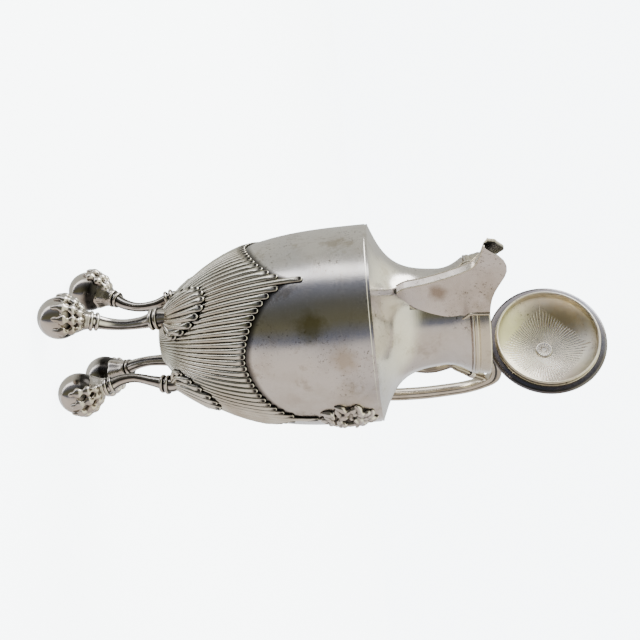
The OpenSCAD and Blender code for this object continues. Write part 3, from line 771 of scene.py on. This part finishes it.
def ball_pieces(side, degrees, bent, run):
    lean = -atan2(run, ANKLE_Z - BALL_Z)
    centre = Matrix.Translation((FOOT_X - bent, 0, BALL_Z))
    tilt = centre @ Matrix.Rotation(lean, 4, "Y")
    reach = sqrt(run ** 2 + (ANKLE_Z - BALL_Z) ** 2)

    bm = new_shape()
    bmesh.ops.create_uvsphere(bm, u_segments=56, v_segments=36, radius=BALL_R)
    # Painted shade and reflection: the relief mark falls from 1 at the ball's middle to 0 near its
    # top, so the ball's finish paints the top, under the claw and leg, near black.
    layer = bm.verts.layers.float["relief"]
    for v in bm.verts:
        v[layer] = min(1.0, max(0.0, (BALL_R * 0.6 - v.co.z) / (BALL_R * 0.6)))
    bmesh.ops.transform(bm, matrix=tilt, verts=bm.verts)
    cut = bmesh.ops.bisect_plane(bm, geom=bm.verts[:] + bm.edges[:] + bm.faces[:], dist=1e-5,
                                 plane_co=(0, 0, 0.02), plane_no=(0, 0, -1), clear_outer=True)
    rim = [g for g in cut["geom_cut"] if isinstance(g, bmesh.types.BMEdge)]
    bmesh.ops.contextual_create(bm, geom=rim)
    settle(bm, "foot_ball_" + side, ball_silver_with_painted_shade, ["ball_" + side],
           turn=turn_z(degrees))

    bm = new_shape()
    for toe in range(-2, 3):
        talon(bm, TALON_TURN * toe, 1 - 0.05 * abs(toe))
    for gap in (-1.5, -0.5, 0.5, 1.5):
        web(bm, TALON_TURN * gap)
    ankle_cone(bm, reach)
    out = melted(bm)
    bmesh.ops.transform(out, matrix=tilt, verts=out.verts)
    settle(out, "claw_grip_" + side, cast_silver, ["claw_" + side],
           turn=turn_z(degrees), crease=180)


def on_ball(polar, around, proud):
    t, a = radians(polar), radians(around)
    return Vector((sin(t) * cos(a), sin(t) * sin(a), cos(t))) * (BALL_R + proud)


TALON_TURN = 32


def talon(bm, around, size):
    """One knuckled toe over the outward side of the ball, ending in a hooked nail."""
    knuckles = [(8, 2.2, 2.4), (20, 2.4, 2.6), (34, 3.1, 3.0), (46, 1.9, 2.1),
                (59, 4.0, 2.8), (72, 1.9, 1.9), (85, 4.1, 2.5), (97, 2.0, 1.9),
                (106, 1.9, 1.6), (114, 1.0, 1.0)]
    path = []
    for polar, width, height in through(knuckles, 3):
        reach = 8 + (polar - 8) * size
        path.append((on_ball(reach, around, height * 0.22), width, height))
    a = radians(around)
    bar(bm, path, oval(12), across=Vector((-sin(a), cos(a), 0)))


def web(bm, around):
    """Skin between neighbouring toes, close to the ankle, and one thin cross bar."""
    for polar, thick in ((30, 1.7), (85, 1.2)):
        path = [(on_ball(polar, around + 5 * s, 0.2), thick, thick) for s in range(-3, 4)]
        bar(bm, path, oval(8), across=on_ball(polar, around, 0).normalized())


def ankle_cone(bm, reach):
    """The foot's root, from the ankle rings down on to the ball. It bulges outward."""
    stations = [(BALL_R * 0.72, 5.0), (BALL_R * 0.86, 4.7), (BALL_R * 1.0, 4.1),
                (BALL_R * 1.14, 3.5), (BALL_R * 1.28, 3.15), (reach - 1.2, 3.05)]

    def point(station, k):
        z, r = station
        t = FULL_TURN * k / 40
        r *= 1 + 0.06 * cos(5 * t)
        return Vector((r * cos(t), r * sin(t), z)), 1.0

    drawn(bm, stations, point, 40)


# ---- shells and leaf on the cup ----

def fan(name, middle, base_z, centre_z, wide, tall, lobes, thick, spring, nodes, finish):
    """Fan of rounded lobes on the reeded cup. They spring from a root that stands off it."""
    bm = new_shape()
    span = 105
    for j in range(lobes):
        t = radians(-span + 2 * span * j / (lobes - 1))
        tip_a, tip_z = wide * sin(t), centre_z + tall * cos(t)
        root_a = 0.40 * wide * sin(t * 0.8)
        bow_a = (root_a + tip_a) / 2 + 0.10 * wide * sin(t)
        bow_z = (base_z + tip_z) / 2 - 0.8 * abs(sin(t))
        marks = [(root_a, base_z), (bow_a, bow_z), (tip_a, tip_z)]
        line = [(a, z, thick * (0.42 + 0.62 * i / 8), 0.75 + 0.35 * i / 8,
                 spring * (1 - i / 8) ** 1.7)
                for i, (a, z) in enumerate(through(marks, 4))]
        reed(bm, rounded_end(line, thick * 0.9), middle, CUP_T + 0.35 + 0.12 * (j % 2), 1.25)
    rises = ((base_z - 0.8, 0.38), (base_z + 1, 0.50), (centre_z - 4, 0.88), (centre_z, 0.98),
             (centre_z + tall * 0.5, 0.80), (centre_z + tall * 0.8, 0.5),
             (centre_z + tall * 0.97, 0.18))
    ground = [(0.0, z, wide * share, 1.0, spring * max(0.0, 1 - (z - base_z) / tall) ** 1.7)
              for z, share in rises]
    reed(bm, ground, middle, CUP_T, 0.75, eyelet=False)
    settle(bm, name, finish, nodes, crease=80)


# ---- side masks ----

def blob(bm, spot, radii, tilt=0.0):
    made = bmesh.ops.create_icosphere(bm, subdivisions=3, radius=1.0)["verts"]
    shape = (Matrix.Translation(spot) @ Matrix.Rotation(radians(tilt), 4, "Z")
             @ Matrix.Diagonal((*radii, 1)))
    bmesh.ops.transform(bm, matrix=shape, verts=made)


def tuft(bm, degrees, inner, outer, thick, swirl, rise):
    """One curling lock of the mane, drawn outward from the face."""
    path = []
    for i in range(7):
        s = i / 6
        t = radians(degrees + swirl * s * s)
        r = inner + (outer - inner) * s
        size = thick * (0.75 + 0.5 * sin(pi * min(1, s * 1.15)))
        if i == 6:
            size *= 0.45
        path.append((Vector((0.80 * r * cos(t), r * sin(t), rise * (1 - 0.75 * s * s))),
                     size, size * 0.95))
    bar(bm, path, oval(10), across=Vector((0, 0, 1)))


def mask_piece(side, degrees):
    """Lion-like leafy mask. Shaped with X across, Y up the jug and Z out from the bowl."""
    bm = new_shape()
    blob(bm, (0, 0, -0.7), (7.0, 9.2, 1.6))
    for k in range(18):
        tuft(bm, 20 * k + 6, 6.6, 10.2 if k % 2 else 9.3, 1.9, 18 if k % 2 else -12, 0.9)
    for k in range(14):
        tuft(bm, 360 / 14 * k + 4, 5.4, 7.8, 1.5, -22, 1.5)
    blob(bm, (0, 0.2, 0.6), (4.3, 5.6, 1.6))
    blob(bm, (0, 3.3, 1.7), (3.5, 2.0, 1.5))
    blob(bm, (0, 0.7, 2.5), (0.95, 3.0, 1.2))
    blob(bm, (0, -1.5, 3.0), (1.7, 1.1, 0.95))
    for s in (-1, 1):
        blob(bm, (2.0 * s, 2.7, 2.8), (1.7, 0.6, 0.7), -22 * s)
        blob(bm, (2.1 * s, 1.1, 1.9), (0.85, 0.55, 0.55))
        blob(bm, (3.2 * s, -1.4, 1.5), (1.5, 1.7, 1.2))
        blob(bm, (1.5 * s, -2.9, 2.3), (1.5, 1.0, 1.1), 18 * s)
        blob(bm, (4.3 * s, 4.4, 1.5), (1.1, 1.3, 0.9))
    blob(bm, (0, -5.4, 1.6), (1.7, 0.9, 1.1))
    out = melted(bm)
    # Painted shade: within 0.5 mm of the bowl the mask's relief mark fades to 0, so its side wall
    # is painted near black as its shadow.
    layer = out.verts.layers.float["relief"]
    for v in out.verts:
        if v.co.z < 0.5:
            v[layer] *= max(0.0, v.co.z / 0.5)
    mask_z = (node_box("mask_" + side)[0].z + node_box("mask_" + side)[1].z) / 2
    stand = Matrix(((0, 0, 1, SHOULDER_R), (1, 0, 0, 0), (0, 1, 0, mask_z), (0, 0, 0, 1)))
    bmesh.ops.transform(out, matrix=stand, verts=out.verts)
    for v in out.verts:
        v.co.x += bowl_r(min(v.co.z, SHOULDER_Z)) - SHOULDER_R
        v.co.x -= SHOULDER_R - sqrt(SHOULDER_R ** 2 - min(v.co.y ** 2, 200))
    settle(out, "leaf_mask_" + side, mask_silver, ["mask_" + side],
           turn=turn_z(degrees), crease=180)


# ---- handle ----

STRAP_SECTION = mirrored([
    (0.0, -1.0, 1.0), (0.5, -0.98, 1.0), (0.85, -0.84, 1.0), (0.98, -0.58, 0.9),
    (0.93, -0.38, 0.35), (0.74, -0.27, 0.0), (0.74, -0.08, 0.0), (0.93, 0.04, 0.35),
    (1.0, 0.3, 0.9), (0.98, 0.66, 1.0), (0.8, 0.88, 1.0), (0.4, 0.97, 1.0), (0.0, 0.99, 1.0)])


def handle_pieces():
    w, t, h = 4.4, 5.0, STRAP_C
    marks = [
        (-(MOUTH_R - 0.2), RIM_Z - 4.4, w + 1.4, t - 1.2),
        (-(MOUTH_R + 4), RIM_Z - 3.5, w + 1, t - 1),
        (-0.5 * h - 1, RIM_Z + 3.5, w, t - 1), (-0.67 * h, RIM_Z + 6.2, w, t - 0.8),
        (-0.83 * h, RIM_Z + 5.8, w, t - 0.6), (-0.905 * h, RIM_Z + 1.6, w, t - 0.5),
        (-0.96 * h, RIM_Z - 5, w, t - 0.3), (-0.985 * h, RIM_Z - 13, w, t),
        (-h, RIM_Z - 24, w, t + 0.3), (-0.985 * h, RIM_Z - 36, w, t + 0.2),
        (-0.93 * h, SHOULDER_Z - 6, w, t), (-0.83 * h, SHOULDER_Z - 14.5, w, t - 0.4),
        (-(SHOULDER_R + 12), SHOULDER_Z - 21.5, w, t - 0.8),
        (-(SHOULDER_R + 4), SHOULDER_Z - 25.5, w + 0.8, t - 1),
        (-(SHOULDER_R - 0.5), SHOULDER_Z - 27.3, w + 1.4, t - 1)]
    bm = new_shape()
    bar(bm, [((x, 0, z), a, b) for x, z, a, b in through(marks, 7)], STRAP_SECTION)
    settle(bm, "handle_bow", strap_silver, ["handle_strap"])

    marks = [
        (-0.835 * h, RIM_Z + 1.4, 3.0, 2.6), (-0.77 * h, RIM_Z - 3, 3.2, 2.8),
        (-0.705 * h, RIM_Z - 6.4, 3.0, 2.6), (-0.655 * h, RIM_Z - 9.4, 2.8, 2.3),
        (-0.612 * h, RIM_Z - 11.4, 2.7, 2.2), (-0.632 * h, RIM_Z - 14.4, 2.8, 2.4),
        (-0.65 * h, RIM_Z - 18, 3.0, 2.6), (-0.645 * h, RIM_Z - 22, 3.0, 2.6),
        (-0.61 * h, RIM_Z - 26.5, 3.0, 2.5), (-0.55 * h, RIM_Z - 31, 3.0, 2.4),
        (-0.475 * h, SHOULDER_Z + 4.4, 3.0, 2.3),
        (-(neck_r(SHOULDER_Z + 2.6) - 0.6), SHOULDER_Z + 2.3, 3.0, 2.3)]
    bm = new_shape()
    bar(bm, [((x, 0, z), a, b) for x, z, a, b in through(marks, 6)], STRAP_SECTION)
    settle(bm, "inner_scroll", scroll_silver, ["handle_scroll"])

    bm = new_shape()
    for offset in (-0.75, 0.0, 0.75):
        slim = abs(offset) * 0.3
        ring_round(bm, -0.752 * h - offset, RIM_Z - 3.6 + 0.66 * offset, 146, 4.3 - slim,
                   4.1 - slim)
    settle(bm, "scroll_rings", cast_silver, ["scroll_collar"])


# ---- lid, shaped closed and then turned back ----

def lid_pieces():
    back = lid_turn()

    def lay(bm, name, finish, nodes=(), crease=50):
        return settle(bm, name, finish, nodes, body="lid", turn=back, crease=crease)

    r = LID_R
    bm = new_shape()
    turned(bm, [
        (r - 2.6, SEAT_Z), (r - 1.0, SEAT_Z), (r - 0.45, SEAT_Z + 0.12), (r - 0.12, SEAT_Z + 0.42),
        (r, SEAT_Z + 0.85), (r - 0.02, SEAT_Z + 1.3), (r - 0.2, SEAT_Z + 1.75),
        (r - 0.55, SEAT_Z + 2.08), (r - 1.1, SEAT_Z + 2.2), (r - 2.6, SEAT_Z + 2.2)])
    lay(bm, "lid_edge_roll", dark_rim, ["lid_flange"])

    b = BEZEL_R
    bm = new_shape()
    turned(bm, [
        (b - 0.8, SEAT_Z - 2.05), (b - 0.62, SEAT_Z - 2.2), (b - 0.28, SEAT_Z - 2.2),
        (b - 0.03, SEAT_Z - 1.95), (b, SEAT_Z - 1.2), (b - 0.12, SEAT_Z - 0.9), (b, SEAT_Z - 0.6),
        (b, SEAT_Z - 0.1), (r - 2.6, SEAT_Z), (r - 2.6, SEAT_Z + 1.2), (b - 0.8, SEAT_Z + 1.2)])
    lay(bm, "lid_inner_ring", gilt_wash, ["lid_bezel"])

    outer = [(DOME_R * sin(radians(4.5 * i)), 0.0) for i in range(21)]
    inner = [((DOME_R - SHEET_T) * sin(radians(4.5 * i)), SHEET_T) for i in range(20, -1, -1)]
    bm = new_shape()
    turned(bm, [(q, dome_z(q, inset)) for q, inset in outer + inner], closed=False)
    lay(bm, "lid_cover", gilt_wash, ["lid_dome"])

    bm = new_shape()
    for k in range(72):
        degrees = 5 * k
        reach = 12.6 + 5.0 * spike_share(degrees) ** 1.2
        dome_ridge(bm, degrees, 3.3, reach, SHEET_T, -1, 0.13, 0.34)
    lay(bm, "lid_inner_flutes", flute_silver, crease=80)

    bm = new_shape()
    for k in range(48):
        degrees = 7.5 * k
        reach = 12.4 + 6.0 * spike_share(degrees + 45) ** 1.3
        dome_ridge(bm, degrees, 3.6, reach, 0.0, 1, 0.5, 0.95)
    lay(bm, "lid_outer_reeds", reed_silver, crease=80)

    top = dome_z(0, SHEET_T)
    bm = new_shape()
    turned(bm, [(0, top - 0.5), (1.3, top - 0.52), (2.6, top - 0.6), (3.0, top - 0.62),
                (3.25, top - 0.4), (3.25, top - 0.02), (0, top - 0.02)], steps=72, closed=False)
    for k in range(16):
        t = radians(22.5 * k)
        out = Vector((cos(t), sin(t), 0))
        path = [(out * q + Vector((0, 0, top - 0.56)), 0.35, 0.3) for q in (0.9, 1.4, 2.0, 2.6)]
        bar(bm, path, oval(8), across=Vector((-sin(t), cos(t), 0)))
    lay(bm, "lid_rosette_disc", flute_silver, ["lid_rosette"])

    cap = dome_z(0)
    bm = new_shape()
    turned(bm, [(0, cap - 0.9), (1, cap - 0.9), (1, dome_z(1)), (3.4, dome_z(3.4) + 0.02),
                (3.45, cap + 0.35), (3.0, cap + 0.85), (2.1, cap + 1.1), (1.55, cap + 1.6),
                (1.3, cap + 2.2), (1.35, cap + 2.8), (1.9, cap + 3.2), (2.0, cap + 3.6),
                (1.6, cap + 4.0), (1.9, cap + 5.6), (1.5, cap + 7.0), (0.7, cap + 8.0),
                (0, cap + 8.4)], steps=48, closed=False)
    for k in range(8):
        t = radians(45 * k)
        out = Vector((cos(t), sin(t), 0))
        path = [(out * q + Vector((0, 0, cap + z)), a, 0.8) for q, z, a in through(
            [(1.5, 3.6, 0.5), (2.3, 4.6, 1.4), (2.45, 5.7, 1.5), (1.9, 6.9, 1.2),
             (0.9, 8.0, 0.6), (0.4, 8.4, 0.3)], 3)]
        bar(bm, path, oval(10), across=Vector((-sin(t), cos(t), 0)))
    lay(bm, "bud_finial", reed_silver, ["lid_finial"])


def dome_ridge(bm, degrees, start, reach, inset, facing, thin, wide):
    """Fine raised line along the dome, on its outside (facing 1) or inside (facing -1)."""
    t = radians(degrees)
    side = Vector((-sin(t), cos(t), 0))
    stations = []
    for i in range(9):
        s = i / 8
        r = start + (reach - start) * s
        slope = (dome_z(r + 0.1, inset) - dome_z(r - 0.1, inset)) / 0.2
        up = Vector((-slope * cos(t), -slope * sin(t), 1)).normalized() * facing
        width = (thin + (wide - thin) * s) * (1 if i < 8 else 0.3)
        spot = Vector((r * cos(t), r * sin(t), dome_z(r, inset)))
        stations.append((spot, side, up, width, width * (0.65 + 0.15 * facing)))

    def point(station, k):
        spot, across, up, half_w, height = station
        a, b, relief = REED_SECTION[k]
        return spot + across * (a * half_w) + up * (b * height), relief

    drawn(bm, stations, point, len(REED_SECTION))


# ---- make every piece ----

bowl_piece()
neck_piece()
neck_bead_piece()
mouth_band_piece()
reeded_cup_piece()
spout_piece()
for side, degrees, bent in (("front", 0, 0.0), ("left", 90, FOOT_X - LEFT_FOOT_X),
                            ("back", 180, 0.0), ("right", 270, 0.0)):
    leg_pieces(side, degrees, bent)
    fan("palmette_" + side, degrees, KNEE_Z + 3.9, BOWL_Z + 12, 7.4, 9.2, 11, 1.35, 3.0,
        ["shell_" + side], shell_silver)
mask_piece("left", 90)
mask_piece("right", 270)
handle_pieces()
leaf_low, leaf_high = node_box("handle_leaf")
fan("handle_foot_leaf", 180, leaf_low.z + 2, (leaf_low.z + leaf_high.z) / 2, 4.0,
    (leaf_high.z - leaf_low.z) / 2 - 2.2, 9, 0.95, 0.0, ["handle_leaf"], shell_silver)
lid_pieces()

for name in ("hinge_ear_left", "hinge_ear_right", "hinge_pin", "lid_knuckle", "scroll_bead"):
    for material_slot in frame["nodes"][name].material_slots:
        material_slot.material = hinge_silver


# ---- studio ----

TENT_R = 2.5
PALE_BLUE = (0.90, 0.965, 1.0, 1)


def stage_piece(bm, name, finish, seen=True, mirrored_in_silver=True):
    piece = mesh_object(bm, name)
    piece.data.materials.append(finish)
    piece.visible_camera = seen
    piece.visible_glossy = mirrored_in_silver
    return piece


def floor_piece():
    f = Finish("pale floor")
    shader = f.node("ShaderNodeBsdfPrincipled")
    shader.inputs["Roughness"].default_value = 0.7
    shader.inputs["Emission Color"].default_value = PALE_BLUE
    shader.inputs["Emission Strength"].default_value = 7.0
    tone = f.ramp(f.noise(3, detail=2), [(0.3, (0.86, 0.88, 0.90)), (0.7, (0.90, 0.91, 0.93))])
    f.link(tone, shader.inputs["Base Color"])
    f.link(shader.outputs["BSDF"], f.out.inputs["Surface"])
    bm = bmesh.new()
    bmesh.ops.create_circle(bm, cap_ends=True, segments=96, radius=TENT_R - 0.05)
    stage_piece(bm, "floor", f.material, mirrored_in_silver=False)


def tent_piece():
    """Light tent round the jug: bands of light and dark cloth that the silver mirrors."""
    f = Finish("tent cloth")
    parts = f.node("ShaderNodeSeparateXYZ")
    f.link(f.coords, parts.inputs[0])
    turn = f.sum("ARCTAN2", parts.outputs["Y"], parts.outputs["X"])
    share = f.sum("ADD", f.sum("MULTIPLY", turn, 1 / FULL_TURN), 0.5)
    bands = [(-180, (0.80, 0.82, 0.84)), (-150, (0.42, 0.42, 0.39)), (-60, (0.40, 0.40, 0.36)),
             (-46, (0.45, 0.45, 0.43)), (-42, (1.9, 1.9, 1.9)), (-33, (1.9, 1.9, 1.9)),
             (-26, (0.16, 0.17, 0.21)), (0, (0.07, 0.07, 0.06)), (25, (0.09, 0.085, 0.05)),
             (43, (0.10, 0.11, 0.15)), (52, (0.50, 0.46, 0.43)), (70, (0.56, 0.50, 0.45)),
             (165, (0.52, 0.48, 0.45)), (180, (0.80, 0.82, 0.84))]
    walls = f.ramp(share, [((a + 180) / 360, c) for a, c in bands])
    height = f.sum("DIVIDE", parts.outputs["Z"], TENT_R)
    colour = f.mix(f.ramp(height, [(0.45, 0.0), (0.72, 1.0)]), walls, (0.98, 0.97, 0.76))
    glow = f.node("ShaderNodeEmission")
    glow.inputs["Strength"].default_value = 1.6
    f.link(colour, glow.inputs["Color"])
    f.link(glow.outputs[0], f.out.inputs["Surface"])
    bm = bmesh.new()
    bmesh.ops.create_uvsphere(bm, u_segments=72, v_segments=36, radius=TENT_R)
    stage_piece(bm, "light_tent", f.material, seen=False)


def sky():
    world = bpy.data.worlds.new("pale studio")
    bpy.context.scene.world = world
    world.use_nodes = True
    glow = world.node_tree.nodes["Background"]
    glow.inputs["Color"].default_value = PALE_BLUE
    glow.inputs["Strength"].default_value = 8.0


def lamp(name, spot, target, size, power, tint=(1, 1, 1)):
    data = bpy.data.lights.new(name, "AREA")
    data.shape = "RECTANGLE"
    data.size, data.size_y = size
    data.energy = power
    data.color = tint
    made = bpy.data.objects.new(name, data)
    bpy.context.scene.collection.objects.link(made)
    made.location = spot
    made.rotation_euler = (Vector(target) - Vector(spot)).to_track_quat("-Z", "Y").to_euler()
    made.visible_camera = False


CAMERA_SPOT = (0.30045, 0.1509, 0.1239)
CAMERA_RIGHT = (-0.121, 0.037, 0.992)       # rolled, so that the jug is seen lying down
CAMERA_BACK = (0.879, 0.468, 0.09)
LENS_MM = 51.62


def camera():
    data = bpy.data.cameras.new("camera")
    data.sensor_width = 36
    data.lens = LENS_MM
    data.clip_start = 0.01
    made = bpy.data.objects.new("camera", data)
    bpy.context.scene.collection.objects.link(made)
    right = Vector(CAMERA_RIGHT).normalized()
    back = Vector(CAMERA_BACK)
    back = (back - right * back.dot(right)).normalized()
    up = back.cross(right)
    turn = Matrix((right, up, back)).transposed().to_4x4()
    made.matrix_world = Matrix.Translation(CAMERA_SPOT) @ turn
    bpy.context.scene.camera = made


floor_piece()
tent_piece()
sky()
lamp("key softbox", (0.25, -0.75, 0.75), (0.01, 0, 0.09), (0.5, 0.7), 9)
camera()
